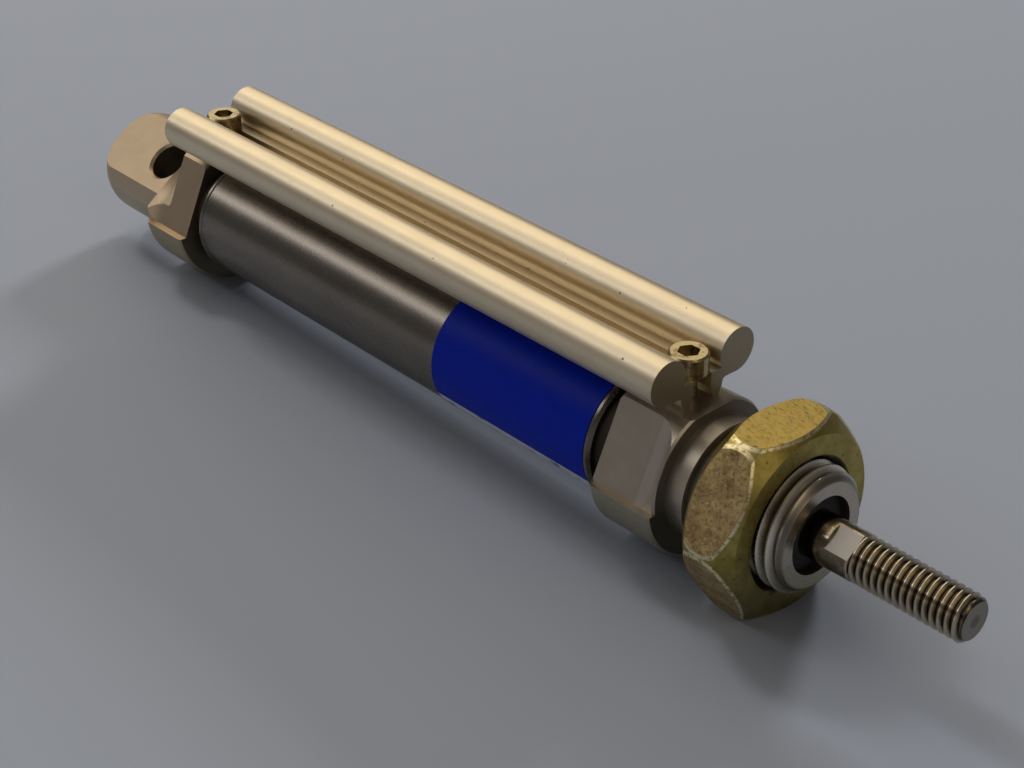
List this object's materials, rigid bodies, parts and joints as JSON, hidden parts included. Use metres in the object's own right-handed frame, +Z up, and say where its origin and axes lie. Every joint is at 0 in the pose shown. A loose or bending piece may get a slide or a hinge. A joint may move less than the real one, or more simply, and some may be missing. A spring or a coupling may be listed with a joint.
{
  "type": "pneumatic cylinder",
  "caption": "Round pneumatic cylinder with threaded rod and neck, mounting nut, rear eye and a twin-lobe sensor rail; the rod slides and turns.",
  "frame": {"origin": "on the cylinder's axis, in the plane of the front cap's shoulder, at the root of the neck", "axes": "+X along the axis towards the rod's tip, +Z up towards the sensor rail, -Y the side seen in the picture"},
  "size_m": [0.1621, 0.027, 0.0289],
  "materials": {
    "barrel": "drawn, dull",
    "label": "film, satin",
    "caps": "turned and milled, satin",
    "nut": "yellow zinc, worn",
    "bush": "sintered",
    "seals": "matt",
    "bumpers": "matt",
    "rail": "drawn, anodised, satin",
    "screws": "zinc, worn",
    "guide": "matt",
    "rod": "ground, rolled thread",
    "piston": "turned",
    "magnet": "matt",
    "piston_nut": "plain"
  },
  "bodies": {
    "cylinder": {"barrel_tube": "barrel", "label": "label", "front_cap": "caps", "rear_cap": "caps", "mounting_nut": "nut", "rod_bush": "bush", "rod_seal": "seals", "front_bumper": "bumpers", "rear_bumper": "bumpers", "front_barrel_seal": "seals", "rear_barrel_seal": "seals", "sensor_rail": "rail", "front_rail_screw": "screws", "rear_rail_screw": "screws"},
    "piston_seals": {"front_piston_seal": "seals", "rear_piston_seal": "seals", "guide_ring": "guide"},
    "rod": {"piston_rod": "rod", "piston_front_half": "piston", "piston_rear_half": "piston", "piston_magnet": "magnet", "piston_nut": "piston_nut", "piston_ring_seal": "seals"}
  },
  "joints": [
    {"name": "rod_slide", "type": "slide", "parent": "cylinder", "child": "piston_seals", "axis": [1, 0, 0], "range_m": [0, 0.05]},
    {"name": "rod_turn", "type": "hinge", "parent": "piston_seals", "child": "rod", "pos_m": [0, 0, 0], "axis": [1, 0, 0], "continuous": true}
  ]
}
